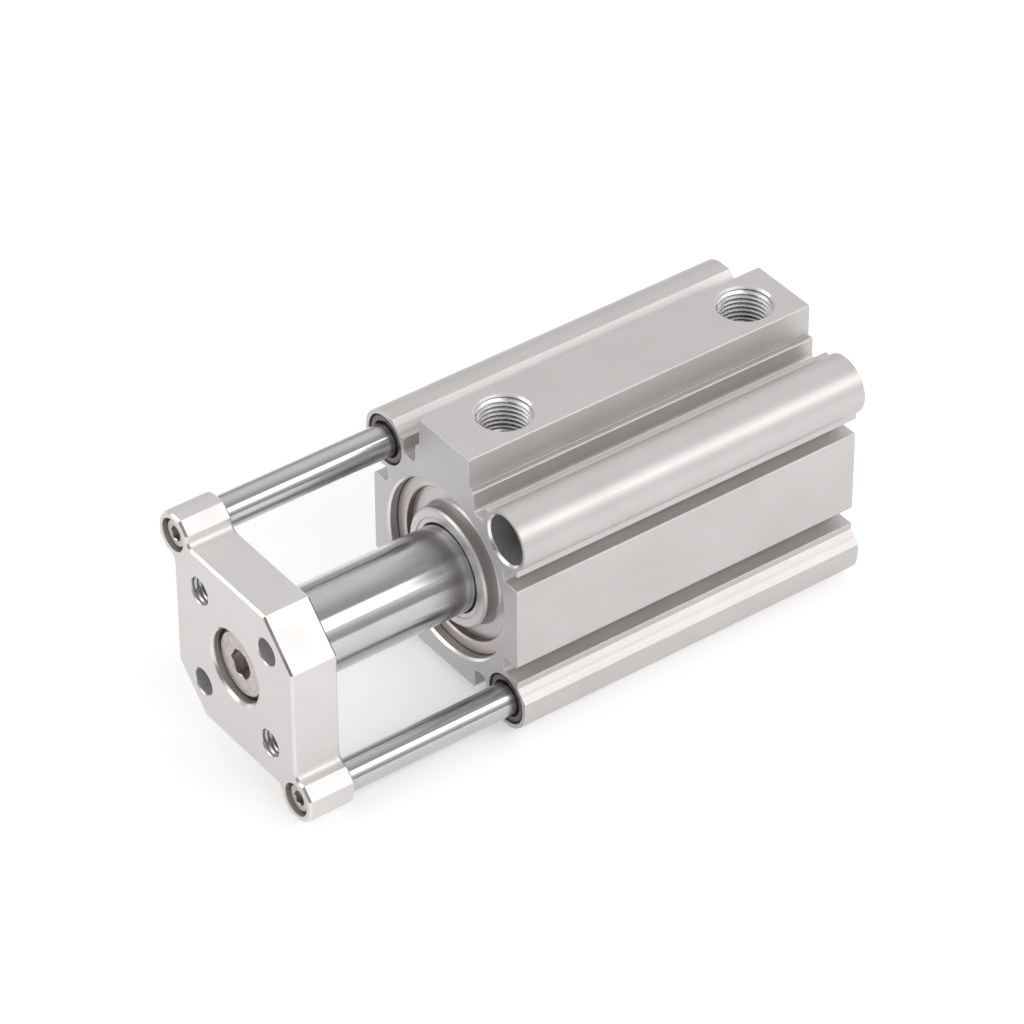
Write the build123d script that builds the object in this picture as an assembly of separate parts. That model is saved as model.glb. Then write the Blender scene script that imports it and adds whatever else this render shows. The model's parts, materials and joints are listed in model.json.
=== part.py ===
from build123d import *
import os

# Guided compact pneumatic cylinder, in millimetres.
# The origin is on the cylinder axis in the front face of the tube.
# +X is the way the rod extends, +Z points up to the air ports, and the part is drawn
# at the extension that the photograph shows.

# Cylinder tube: an aluminium extrusion with four corner lobes and a port block on top
body_length = 72.0
bore_radius = 16.0
tube_wall = 4.4  # from the bore to the flat walls
corner_pitch = 34.0  # between the centres of neighbouring corner lobes
lobe_radius = 5.5

# Sensor grooves along the side and bottom walls, and the lips between them and the lobes
side_groove_start = 8.2
side_groove_width = 3.2
side_groove_depth = 4.0
side_groove_corner = 1.0
groove_edge_round = 0.4
lobe_lip_width = 1.35

# Port block with the two deeper grooves beside it
port_block_width = 14.0
port_block_height = 7.1  # above the flat walls
ledge_height = 0.9  # above the flat walls
ledge_end = 8.2
top_groove_width = 3.5
top_groove_depth = 3.1  # below the flat walls
top_groove_corner = 1.2
block_edge_round = 0.25

# Air ports, with their thread cut in at the major diameter
port_radius = 4.864
port_depth = 8.0
port_tip_depth = 1.6
port_mouth_chamfer = 0.35
port_front_inset = 12.4
port_rear_inset = 8.6
passage_radius = 1.5

# Mounting holes through two opposite corner lobes
mount_hole_radius = 2.75
mount_counterbore_radius = 4.5
mount_counterbore_depth = 7.0
mount_mouth_chamfer = 0.4

# Seats for the end covers and their retaining rings
cover_seat_step = 0.5  # the seats are this much wider than the bore
seat_mouth_chamfer = 0.4
cover_clearance = 0.06
ring_front_inset = 1.9
ring_rear_inset = 1.0
ring_thickness = 1.5
ring_band_width = 3.3
ring_groove_depth = 0.9
ring_fit = 0.05
ring_gap_angle = 225.0
ring_gap_width = 5.0
ring_ear_reach = 2.5
ring_ear_width = 4.0
ring_ear_round = 1.3
ring_ear_hole_radius = 0.9
ring_edge_roll = 0.35  # on the side that faces out of the bore

# Rod cover: a turned disc with a boss around the rod and a nose inside the bore
rod_cover_flange = 6.6
cover_nose_gap = 2.5  # leaves the air a way round the nose
rod_cover_nose = 2.7
boss_wall = 3.0  # from the rod to the outside of the boss
boss_height = 3.1
boss_edge_chamfer = 0.4
boss_foot_chamfer = 0.4
boss_step_width = 1.2
boss_step_depth = 0.2
rod_throat_gap = 0.3
cover_edge_chamfer = 0.4

# Head cover: a plain turned disc that closes the rear end
head_cover_flange = 4.0
head_cover_nose = 1.6

# Cover gaskets, squeezed into a groove so that their round section has flat sides
gasket_groove_width = 2.4
gasket_groove_depth = 1.5
gasket_inset = 1.0
gasket_play = 0.03
gasket_corner_share = 0.3  # of the gasket's thickness

# Rod seal and rod bush inside the rod cover
rod_seal_inset = 0.9
rod_seal_width = 3.4
rod_seal_height = 3.2
rod_seal_lip = 0.7
rod_seal_notch = 1.9
rod_bush_gap = 0.6
rod_bush_wall = 1.0

# Rubber end-stop rings
bumper_rim = 0.6  # of the cover's nose, outside the ring
bumper_width = 2.5
bumper_seat_depth = 1.1
bumper_stand_out = 0.6

# Piston with its seal, sensor magnet and screw
piston_length = 9.8
piston_clearance = 0.08
piston_edge_chamfer = 0.5
front_land = 1.4
seal_groove_width = 3.4
seal_groove_depth = 3.5
seal_lip_depth = 1.0
middle_land = 1.2
magnet_groove_width = 2.6
magnet_groove_depth = 3.1
magnet_inset = 0.25
rod_seat_depth = 1.5
end_gap = 0.1
running_clearance = 0.04
seat_clearance = 0.02

# Piston rod and guide rods
rod_radius = 8.0
rod_end_chamfer = 0.5
guide_rod_radius = 3.0
guide_rod_chamfer = 0.5
guide_rear_inset = 1.5  # from the tube's rear face to the retracted guide rods
retracted_gap = 7.0  # between the tube and the end plate with the rod drawn in
extension = 26.8  # how far the rod stands out of its drawn-in place in the photograph

# Guide bushes and their wiper rings
guide_bush_wall = 1.7  # from the guide rod to the outside of the bush
guide_bush_fit = 0.05
guide_bush_length = 24.0
guide_bush_inset = 0.25
guide_bush_chamfer = 0.25
guide_bore_gap = 0.8
guide_bore_chamfer = 0.4
wiper_width = 0.45
wiper_depth = 2.2
wiper_inset = 0.3

# End plate
plate_thickness = 9.1
plate_half_width = 17.0
plate_corner_cut = 7.6
plate_lobe_half = 4.2
plate_lobe_chamfer = 2.1
plate_lobe_fillet = 1.5
plate_edge_chamfer = 0.4
plate_hole_pitch = 19.5
plate_tapped_radius = 2.5
plate_plain_radius = 2.5
plate_hole_chamfer = 0.4

# Socket screws
plate_screw_head_radius = 6.2
plate_screw_head_height = 5.0
plate_screw_radius = 4.0
plate_screw_length = 16.0
plate_screw_key = 5.0
plate_screw_recess = 1.3
plate_screw_mouth = 0.5
guide_screw_head_radius = 2.75
guide_screw_head_height = 3.0
guide_screw_radius = 1.5
guide_screw_length = 12.0
guide_screw_key = 2.5
guide_screw_recess = 0.6
piston_screw_head_radius = 5.0
piston_screw_head_height = 4.0
piston_screw_radius = 3.0
piston_screw_length = 14.0
piston_screw_key = 4.0
piston_screw_recess = 0.4
large_counterbore_clearance = 0.5
small_counterbore_clearance = 0.3
screw_hole_clearance = 0.25
tapped_hole_spare = 2.0
screw_edge_chamfer = 0.4
screw_socket_share = 0.55  # of the head's height

# Places that follow from the sizes above
corner = corner_pitch / 2
lobe_reach = corner + lobe_radius
wall_face = bore_radius + tube_wall
side_groove_end = side_groove_start + side_groove_width
lobe_lip_end = side_groove_end + lobe_lip_width
ledge_top = wall_face + ledge_height
port_block_top = wall_face + port_block_height
top_groove_end = ledge_end + top_groove_width
top_groove_floor = wall_face - top_groove_depth
tube_rear = -body_length
cover_seat_radius = bore_radius + cover_seat_step
cover_radius = cover_seat_radius - cover_clearance
cover_nose_radius = bore_radius - cover_nose_gap
ring_groove_radius = cover_seat_radius + ring_groove_depth
ring_inner_radius = ring_groove_radius - ring_band_width
boss_radius = rod_radius + boss_wall
boss_step_radius = rod_radius + boss_step_width
rod_throat_radius = rod_radius + rod_throat_gap
rod_seal_radius = rod_radius + rod_seal_height
rod_cover_front = -(ring_front_inset + ring_thickness)
rod_cover_shoulder = rod_cover_front - rod_cover_flange
rod_cover_end = rod_cover_shoulder - rod_cover_nose
head_cover_back = tube_rear + ring_rear_inset + ring_thickness
head_cover_shoulder = head_cover_back + head_cover_flange
head_cover_end = head_cover_shoulder + head_cover_nose
bumper_outer_radius = cover_nose_radius - bumper_rim
bumper_inner_radius = bumper_outer_radius - bumper_width
rear_bumper_face = head_cover_end + bumper_stand_out
piston_back = rear_bumper_face + end_gap + extension
piston_front = piston_back + piston_length
piston_radius = bore_radius - piston_clearance
seal_groove_radius = piston_radius - seal_groove_depth
magnet_groove_radius = piston_radius - magnet_groove_depth
rod_rear = piston_front - rod_seat_depth
plate_back = retracted_gap + extension
plate_front = plate_back + plate_thickness
guide_rod_rear = tube_rear + guide_rear_inset + extension
guide_bush_radius = guide_rod_radius + guide_bush_wall
guide_bush_seat_radius = guide_bush_radius + guide_bush_fit
guide_bore_radius = guide_rod_radius + guide_bore_gap
wiper_radius = guide_rod_radius + wiper_width
rod_seal_front = rod_cover_front - rod_seal_inset
rod_seal_rear = rod_seal_front - rod_seal_width
rod_bush_front = rod_seal_rear - rod_bush_gap
rod_bush_radius = rod_radius + running_clearance + rod_bush_wall
front_gasket_start = rod_cover_shoulder + gasket_inset
rear_gasket_start = head_cover_shoulder - gasket_inset - gasket_groove_width
seal_groove_front = piston_front - front_land
seal_groove_rear = seal_groove_front - seal_groove_width
magnet_groove_front = seal_groove_rear - middle_land
magnet_groove_rear = magnet_groove_front - magnet_groove_width
plate_screw_counterbore = plate_screw_head_radius + large_counterbore_clearance
guide_screw_counterbore = guide_screw_head_radius + small_counterbore_clearance
piston_screw_counterbore = piston_screw_head_radius + large_counterbore_clearance
plate_screw_seat = plate_front - plate_screw_recess - plate_screw_head_height
guide_screw_seat = plate_front - guide_screw_recess - guide_screw_head_height
piston_screw_seat = piston_back + piston_screw_recess + piston_screw_head_height
guide_corners = [(-corner, corner), (corner, -corner)]
mount_corners = [(corner, corner), (-corner, -corner)]


def turned(*points):
    """Solid turned about the X axis from points given as (x, radius)."""
    outline = Plane.XZ * Polyline(*points, close=True)
    return revolve(make_face(outline), Axis.X)


def rod_between(x_start, x_end, radius, centre=(0, 0)):
    """Round bar along X between two stations, on a line through centre (y, z)."""
    return extrude(Plane.YZ.offset(x_start) * Pos(*centre) * Circle(radius), x_end - x_start)


def countersink(x_face, radius, width, inward, centre=(0, 0)):
    """Cone that breaks the mouth of a hole at x_face; inward is -1 or 1 along X."""
    cone = turned(
        (x_face - inward * width, 0),
        (x_face - inward * width, radius + 2 * width),
        (x_face + inward * width, radius),
        (x_face + inward * width, 0),
    )
    return Pos(0, *centre) * cone


def ring_of(x_start, x_end, inner_radius, outer_radius):
    """Plain ring about the X axis."""
    return turned(
        (x_start, inner_radius),
        (x_start, outer_radius),
        (x_end, outer_radius),
        (x_end, inner_radius),
    )


def vertices_at(sketch, points):
    """The vertices of a sketch that lie on the given (y, z) points."""
    return [
        vertex
        for vertex in sketch.vertices()
        if any(abs(vertex.X - y) < 0.01 and abs(vertex.Y - z) < 0.01 for y, z in points)
    ]


def wall_groove(side):
    """Sensor groove in the wall that faces +Y, on its upper (1) or lower (-1) half."""
    width = side_groove_end - side_groove_start
    reach = side_groove_depth + lobe_radius
    centre_y = wall_face - side_groove_depth + reach / 2
    centre_z = side * (side_groove_start + side_groove_end) / 2
    return Pos(centre_y, centre_z) * RectangleRounded(reach, width, side_groove_corner)


def top_groove(side):
    """Deeper groove between the port block and the lobe on its +Y (1) or -Y (-1) side."""
    width = top_groove_end - ledge_end
    reach = port_block_top - top_groove_floor
    centre_y = side * (ledge_end + top_groove_end) / 2
    centre_z = top_groove_floor + reach / 2
    return Pos(centre_y, centre_z) * RectangleRounded(width, reach, top_groove_corner)


def guide_lobe():
    """Guide lobe of the +Y +Z corner: flat sides, sloping flanks and a round outer corner."""
    flank = lobe_lip_end + lobe_reach - wall_face
    sides = Polygon(
        (wall_face, lobe_lip_end),
        (lobe_reach, flank),
        (lobe_reach, corner),
        (corner, corner),
        (corner, lobe_reach),
        (flank, lobe_reach),
        (lobe_lip_end, wall_face),
        align=None,
    )
    return sides + Pos(corner, corner) * Circle(lobe_radius)


def tube_profile():
    """Cross-section of the extrusion as (y, z), without its holes."""
    profile = Rectangle(2 * wall_face, 2 * wall_face)
    block_height = port_block_top - top_groove_floor
    block_centre = (port_block_top + top_groove_floor) / 2
    ledge_base = ledge_top - top_groove_floor
    profile += Pos(0, block_centre) * Rectangle(port_block_width, block_height)
    profile += Pos(0, top_groove_floor + ledge_base / 2) * Rectangle(2 * ledge_end, ledge_base)
    for quarter in (90, 270):
        profile += Rot(0, 0, quarter) * guide_lobe()
    for y, z in mount_corners:
        profile += Pos(y, z) * Circle(lobe_radius)
    for side in (1, -1):
        for quarter in (0, 180, 270):
            profile -= Rot(0, 0, quarter) * wall_groove(side)
        profile -= top_groove(side)
    half_block = port_block_width / 2
    block_edges = [(-half_block, port_block_top), (half_block, port_block_top)]
    block_edges += [(-ledge_end, ledge_top), (ledge_end, ledge_top)]
    profile = fillet(vertices_at(profile, block_edges), block_edge_round)
    groove_edges = [(level * side_groove_start, -wall_face) for level in (-1, 1)]
    for side in (-1, 1):
        groove_edges += [(side * wall_face, level * side_groove_start) for level in (-1, 1)]
    return fillet(vertices_at(profile, groove_edges), groove_edge_round)


def air_port(x):
    """Tapped port with its mouth on the port block and a passage into the bore."""
    mouth = port_block_top
    floor = mouth - port_depth
    hole = Polyline(
        (0, mouth + port_mouth_chamfer),
        (port_radius + 2 * port_mouth_chamfer, mouth + port_mouth_chamfer),
        (port_radius, mouth - port_mouth_chamfer),
        (port_radius, floor),
        (passage_radius, floor - port_tip_depth),
        (passage_radius, cover_nose_radius),
        (0, cover_nose_radius),
        close=True,
    )
    return Pos(x, 0, 0) * revolve(make_face(Plane.XZ * hole), Axis.Z)


def ring_groove(x_start):
    """Room for a retaining ring that starts at x_start and runs forwards."""
    return rod_between(x_start, x_start + ring_thickness + ring_fit, ring_groove_radius)


def cylinder_tube():
    """Extruded and bored tube with its ports, corner holes, cover seats and ring grooves."""
    tube = extrude(Plane.YZ * tube_profile(), -body_length)
    tube -= rod_between(tube_rear, 0, bore_radius)
    tube -= rod_between(rod_cover_shoulder, 0, cover_seat_radius)
    tube -= rod_between(tube_rear, head_cover_shoulder, cover_seat_radius)
    tube -= countersink(0, cover_seat_radius, seat_mouth_chamfer, -1)
    tube -= countersink(tube_rear, cover_seat_radius, seat_mouth_chamfer, 1)
    tube -= ring_groove(rod_cover_front)
    tube -= ring_groove(head_cover_back - ring_thickness - ring_fit)
    for spot in mount_corners:
        tube -= rod_between(tube_rear, 0, mount_hole_radius, spot)
        tube -= rod_between(-mount_counterbore_depth, 0, mount_counterbore_radius, spot)
        tube -= rod_between(
            tube_rear, tube_rear + mount_counterbore_depth, mount_counterbore_radius, spot
        )
        tube -= countersink(0, mount_counterbore_radius, mount_mouth_chamfer, -1, spot)
        tube -= countersink(tube_rear, mount_counterbore_radius, mount_mouth_chamfer, 1, spot)
    for spot in guide_corners:
        tube -= rod_between(tube_rear, 0, guide_bore_radius, spot)
        tube -= rod_between(
            -(guide_bush_inset + guide_bush_length), 0, guide_bush_seat_radius, spot
        )
        tube -= countersink(tube_rear, guide_bore_radius, guide_bore_chamfer, 1, spot)
    tube -= air_port(-port_front_inset)
    tube -= air_port(tube_rear + port_rear_inset)
    return tube


def retaining_ring(x_start, outward):
    """Open spring ring with two pliers ears beside its gap, in the groove at x_start.

    Its inner edge is rolled over on the side that faces out of the bore, 1 or -1 along X.
    """
    outer = ring_groove_radius - ring_fit
    middle = x_start + ring_thickness / 2
    open_face = middle + outward * ring_thickness / 2
    closed_face = middle - outward * ring_thickness / 2
    ring = turned(
        (closed_face, ring_inner_radius),
        (closed_face, outer),
        (open_face, outer),
        (open_face, ring_inner_radius + ring_edge_roll),
        (open_face - outward * ring_edge_roll, ring_inner_radius),
    )
    ear_outer = (ring_inner_radius + outer) / 2
    ear_inner = ring_inner_radius - ring_ear_reach
    ear = Rectangle(ear_outer - ear_inner, ring_ear_width)
    ear = fillet(ear.vertices().sort_by(Axis.X)[:2], ring_ear_round)
    hole = Circle(ring_ear_hole_radius)
    seat = Plane.YZ.offset(x_start) * Rot(0, 0, ring_gap_angle)
    for side in (1, -1):
        place = seat * Pos(0, side * (ring_gap_width + ring_ear_width) / 2)
        ring += extrude(place * Pos((ear_outer + ear_inner) / 2, 0) * ear, ring_thickness)
        ring -= extrude(place * Pos(ear_inner + ring_ear_width / 2, 0) * hole, ring_thickness)
    gap = Rectangle(2 * (outer - ear_inner), ring_gap_width)
    return ring - extrude(seat * Pos(outer, 0) * gap, ring_thickness)


def gasket_groove(x_start):
    """Groove around a cover for its gasket."""
    inner = cover_radius - gasket_groove_depth
    return ring_of(x_start, x_start + gasket_groove_width, inner, cover_seat_radius + 1)


def gasket(x_start):
    """Rubber ring of round section, pressed flat where it meets the seat and the groove."""
    inner = cover_radius - gasket_groove_depth + gasket_play
    outer = cover_seat_radius - gasket_play
    rear = x_start + gasket_play
    front = x_start + gasket_groove_width - gasket_play
    shy = gasket_corner_share * (outer - inner)
    return turned(
        (rear, inner + shy),
        (rear, outer - shy),
        (rear + shy, outer),
        (front - shy, outer),
        (front, outer - shy),
        (front, inner + shy),
        (front - shy, inner),
        (rear + shy, inner),
    )


def bumper_seat(x_face, inward):
    """Shallow ring groove in the nose of a cover; inward is -1 or 1 along X."""
    return ring_of(x_face, x_face + inward * bumper_seat_depth, bumper_inner_radius, bumper_outer_radius)


def bumper(x_face, inward):
    """Rubber end stop that stands a little out of the cover's nose."""
    inner = bumper_inner_radius + seat_clearance
    outer = bumper_outer_radius - seat_clearance
    start = x_face + inward * (bumper_seat_depth - seat_clearance)
    end = x_face - inward * bumper_stand_out
    middle = (inner + outer) / 2
    crown = (outer - inner) / 4
    return turned(
        (start, inner),
        (start, outer),
        (x_face, outer),
        (end, middle + crown),
        (end, middle - crown),
        (x_face, inner),
    )


def rod_cover():
    """Turned cover with a boss, a stepped throat, a seal groove and a seat for the rod bush."""
    boss_face = rod_cover_front + boss_height
    outline = Plane.XZ * Polyline(
        (boss_face, boss_step_radius),
        (boss_face, boss_radius - boss_edge_chamfer),
        (boss_face - boss_edge_chamfer, boss_radius),
        (rod_cover_front + boss_foot_chamfer, boss_radius),
        (rod_cover_front, boss_radius + boss_foot_chamfer),
        (rod_cover_front, cover_radius),
        (rod_cover_shoulder, cover_radius),
        (rod_cover_shoulder, cover_nose_radius),
        (rod_cover_end, cover_nose_radius),
        (rod_cover_end, rod_bush_radius + seat_clearance),
        (rod_bush_front, rod_bush_radius + seat_clearance),
        (rod_bush_front, rod_throat_radius),
        (boss_face - boss_step_depth, rod_throat_radius),
        (boss_face - boss_step_depth, boss_step_radius),
        close=True,
    )
    cover = revolve(make_face(outline), Axis.X)
    cover -= ring_of(rod_seal_rear, rod_seal_front, rod_radius, rod_seal_radius)
    cover -= gasket_groove(front_gasket_start)
    cover -= bumper_seat(rod_cover_end, 1)
    return cover


def rod_seal():
    """Lip seal for the rod: a square heel with two lips that open towards the bore."""
    inner = rod_radius + running_clearance
    outer = rod_seal_radius - seat_clearance
    heel = rod_seal_front - seat_clearance
    lips = rod_seal_rear + seat_clearance
    middle = (inner + outer) / 2
    notch = rod_seal_rear + rod_seal_notch
    return turned(
        (heel, inner + rod_seal_lip / 2),
        (heel, outer),
        (lips, outer),
        (lips, outer - rod_seal_lip),
        (notch, middle),
        (lips, inner + rod_seal_lip),
        (lips, inner),
        (notch, inner + rod_seal_lip / 4),
    )


def rod_bushing():
    """Plain bearing bush that guides the piston rod."""
    rear = rod_cover_end + seat_clearance
    front = rod_bush_front - seat_clearance
    return ring_of(rear, front, rod_radius + running_clearance, rod_bush_radius)


def head_cover():
    """Turned disc that closes the rear of the bore."""
    cover = turned(
        (head_cover_back, 0),
        (head_cover_back, cover_radius - cover_edge_chamfer),
        (head_cover_back + cover_edge_chamfer, cover_radius),
        (head_cover_shoulder, cover_radius),
        (head_cover_shoulder, cover_nose_radius),
        (head_cover_end, cover_nose_radius),
        (head_cover_end, 0),
    )
    cover -= gasket_groove(rear_gasket_start)
    return cover - bumper_seat(head_cover_end, -1)


def guide_bushing(centre):
    """Long plain bush pressed into a guide lobe, recessed at its mouth for the wiper."""
    front = -guide_bush_inset
    rear = front - guide_bush_length
    inner = guide_rod_radius + running_clearance
    bush = turned(
        (front, wiper_radius),
        (front, guide_bush_radius - guide_bush_chamfer),
        (front - guide_bush_chamfer, guide_bush_radius),
        (rear + guide_bush_chamfer, guide_bush_radius),
        (rear, guide_bush_radius - guide_bush_chamfer),
        (rear, inner),
        (front - wiper_depth, inner),
        (front - wiper_depth, wiper_radius),
    )
    return Pos(0, *centre) * bush


def guide_wiper(centre):
    """Rubber wiper ring with a lip that leans out along the guide rod."""
    front = -guide_bush_inset - wiper_inset
    rear = -guide_bush_inset - wiper_depth + seat_clearance
    outer = wiper_radius - seat_clearance
    inner = guide_rod_radius + running_clearance
    middle = (inner + outer) / 2
    wiper = turned(
        (front, outer),
        (rear, outer),
        (rear, middle),
        (front - wiper_inset, inner),
        (front, inner),
        (front - wiper_inset, middle),
    )
    return Pos(0, *centre) * wiper


def socket_screw(head_radius, head_height, radius, length, key, spot):
    """Socket head screw along X with the underside of its head at x = 0, pointing to -X."""
    screw = turned(
        (head_height, 0),
        (head_height, head_radius - screw_edge_chamfer),
        (head_height - screw_edge_chamfer, head_radius),
        (0, head_radius),
        (0, radius),
        (screw_edge_chamfer - length, radius),
        (-length, radius - screw_edge_chamfer),
        (-length, 0),
    )
    socket_depth = screw_socket_share * head_height
    key_radius = key / 2
    hexagon = RegularPolygon(key_radius, 6, major_radius=False)
    screw -= extrude(Plane.YZ.offset(head_height) * hexagon, -socket_depth)
    screw -= turned(
        (head_height - socket_depth, 0),
        (head_height - socket_depth, key_radius),
        (head_height - socket_depth - key_radius / 2, 0),
    )
    screw -= countersink(head_height, key_radius, screw_edge_chamfer / 2, -1)
    return Pos(*spot) * screw


def piston_rod():
    """Ground and chromed rod, tapped at both ends."""
    rod = turned(
        (rod_rear, 0),
        (rod_rear, rod_radius - rod_end_chamfer),
        (rod_rear + rod_end_chamfer, rod_radius),
        (plate_back - rod_end_chamfer, rod_radius),
        (plate_back, rod_radius - rod_end_chamfer),
        (plate_back, 0),
    )
    front_hole_end = plate_screw_seat - plate_screw_length - tapped_hole_spare
    rear_hole_end = piston_screw_seat + piston_screw_length + tapped_hole_spare
    rod -= rod_between(front_hole_end, plate_back, plate_screw_radius + seat_clearance)
    rod -= rod_between(rod_rear, rear_hole_end, piston_screw_radius + seat_clearance)
    return rod


def piston():
    """Piston with grooves for its seal and magnet, a seat for the rod and a sunk screw seat."""
    body = turned(
        (piston_back, piston_screw_counterbore),
        (piston_back, piston_radius - piston_edge_chamfer),
        (piston_back + piston_edge_chamfer, piston_radius),
        (piston_front - piston_edge_chamfer, piston_radius),
        (piston_front, piston_radius - piston_edge_chamfer),
        (piston_front, rod_radius + seat_clearance),
        (rod_rear, rod_radius + seat_clearance),
        (rod_rear, piston_screw_radius + screw_hole_clearance),
        (piston_screw_seat, piston_screw_radius + screw_hole_clearance),
        (piston_screw_seat, piston_screw_counterbore),
    )
    body -= ring_of(seal_groove_rear, seal_groove_front, seal_groove_radius, bore_radius)
    return body - ring_of(magnet_groove_rear, magnet_groove_front, magnet_groove_radius, bore_radius)


def piston_seal():
    """Two-lipped piston seal that runs in the bore."""
    front = seal_groove_front - seat_clearance
    rear = seal_groove_rear + seat_clearance
    inner = seal_groove_radius + seat_clearance
    outer = bore_radius - running_clearance
    middle = (front + rear) / 2
    lip = seal_lip_depth / 2
    return turned(
        (rear, inner),
        (front, inner),
        (front, outer - seal_lip_depth),
        (front - lip, outer),
        (front - seal_lip_depth, outer),
        (middle, outer - seal_lip_depth),
        (rear + seal_lip_depth, outer),
        (rear + lip, outer),
        (rear, outer - seal_lip_depth),
    )


def piston_magnet():
    """Flexible magnet ring for the position sensors."""
    return ring_of(
        magnet_groove_rear + seat_clearance,
        magnet_groove_front - seat_clearance,
        magnet_groove_radius + seat_clearance,
        piston_radius - magnet_inset,
    )


def guide_rod(centre):
    """Hard-chromed guide rod, tapped at the end that meets the plate."""
    rod = turned(
        (guide_rod_rear, 0),
        (guide_rod_rear, guide_rod_radius - guide_rod_chamfer),
        (guide_rod_rear + guide_rod_chamfer, guide_rod_radius),
        (plate_back, guide_rod_radius),
        (plate_back, 0),
    )
    hole_end = guide_screw_seat - guide_screw_length - tapped_hole_spare
    rod -= rod_between(hole_end, plate_back, guide_screw_radius + seat_clearance)
    return Pos(0, *centre) * rod


def plate_lobe():
    """Lobe of the end plate for the upper guide rod, as (y, z), in the -Y +Z corner."""
    inner = -corner + plate_lobe_half
    outer = corner + plate_lobe_half
    sides = Polygon(
        (-corner, outer),
        (-corner, corner),
        (-outer, corner),
        (-outer, -inner + plate_lobe_chamfer),
        (-outer + plate_lobe_chamfer, -inner),
        (inner, -inner),
        (inner, outer - plate_lobe_chamfer),
        (inner - plate_lobe_chamfer, outer),
        align=None,
    )
    return sides + Pos(-corner, corner) * Circle(plate_lobe_half)


def plate_outline():
    """Outline of the end plate: a square, cut at two corners and drawn out at the other two."""
    side = plate_half_width
    cut = side - plate_corner_cut
    outline = Polygon(
        (-side, -cut), (-cut, -side), (side, -side), (side, cut), (cut, side), (-side, side), align=None
    )
    outline += plate_lobe()
    outline += Rot(0, 0, 180) * plate_lobe()
    inner = corner - plate_lobe_half
    joints = [(-inner, side), (-side, inner), (inner, -side), (side, -inner)]
    return fillet(vertices_at(outline, joints), plate_lobe_fillet)


def end_plate():
    """Milled plate that ties the piston rod and the guide rods together."""
    plate = extrude(Plane.YZ.offset(plate_back) * plate_outline(), plate_thickness)
    plate = chamfer(plate.faces().filter_by(Axis.X).edges(), plate_edge_chamfer)
    plate -= rod_between(plate_back, plate_front, plate_screw_radius + screw_hole_clearance)
    plate -= rod_between(plate_screw_seat, plate_front, plate_screw_counterbore)
    plate -= countersink(plate_front, plate_screw_counterbore, plate_screw_mouth, -1)
    for spot in guide_corners:
        guide_hole = guide_screw_radius + screw_hole_clearance
        plate -= rod_between(plate_back, plate_front, guide_hole, spot)
        plate -= rod_between(guide_screw_seat, plate_front, guide_screw_counterbore, spot)
    half_pitch = plate_hole_pitch / 2
    tapped = [(-half_pitch, half_pitch), (half_pitch, -half_pitch)]
    plain = [(half_pitch, half_pitch), (-half_pitch, -half_pitch)]
    for spots, radius in ((tapped, plate_tapped_radius), (plain, plate_plain_radius)):
        for spot in spots:
            plate -= rod_between(plate_back, plate_front, radius, spot)
            plate -= countersink(plate_front, radius, plate_hole_chamfer / 2, -1, spot)
            plate -= countersink(plate_back, radius, plate_hole_chamfer / 2, 1, spot)
    return plate


def plate_screw():
    """Low-head screw that clamps the end plate to the piston rod."""
    return socket_screw(
        plate_screw_head_radius,
        plate_screw_head_height,
        plate_screw_radius,
        plate_screw_length,
        plate_screw_key,
        (plate_screw_seat, 0, 0),
    )


def guide_screw(centre):
    """Screw that clamps the end plate to one guide rod."""
    return socket_screw(
        guide_screw_head_radius,
        guide_screw_head_height,
        guide_screw_radius,
        guide_screw_length,
        guide_screw_key,
        (guide_screw_seat, *centre),
    )


def piston_screw():
    """Screw that clamps the piston to the rear end of the rod."""
    screw = socket_screw(
        piston_screw_head_radius,
        piston_screw_head_height,
        piston_screw_radius,
        piston_screw_length,
        piston_screw_key,
        (0, 0, 0),
    )
    return Pos(piston_screw_seat, 0, 0) * mirror(screw, Plane.YZ)


upper_guide, lower_guide = guide_corners
parts = {
    "cylinder_tube": cylinder_tube(),
    "rod_cover": rod_cover(),
    "rod_cover_gasket": gasket(front_gasket_start),
    "rod_cover_retaining_ring": retaining_ring(rod_cover_front, 1),
    "rod_seal": rod_seal(),
    "rod_bushing": rod_bushing(),
    "rod_side_bumper": bumper(rod_cover_end, 1),
    "head_cover": head_cover(),
    "head_cover_gasket": gasket(rear_gasket_start),
    "head_cover_retaining_ring": retaining_ring(head_cover_back - ring_thickness, -1),
    "head_side_bumper": bumper(head_cover_end, -1),
    "guide_bushing_upper": guide_bushing(upper_guide),
    "guide_bushing_lower": guide_bushing(lower_guide),
    "guide_wiper_upper": guide_wiper(upper_guide),
    "guide_wiper_lower": guide_wiper(lower_guide),
    "piston_rod": piston_rod(),
    "piston": piston(),
    "piston_seal": piston_seal(),
    "piston_magnet": piston_magnet(),
    "piston_screw": piston_screw(),
    "guide_rod_upper": guide_rod(upper_guide),
    "guide_rod_lower": guide_rod(lower_guide),
    "end_plate": end_plate(),
    "plate_screw": plate_screw(),
    "guide_screw_upper": guide_screw(upper_guide),
    "guide_screw_lower": guide_screw(lower_guide),
}

os.makedirs("parts", exist_ok=True)
for name, shape in parts.items():
    export_step(shape, f"parts/{name}.step")
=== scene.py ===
import json
import math

import bmesh
import bpy
from mathutils import Matrix, Quaternion, Vector


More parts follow.
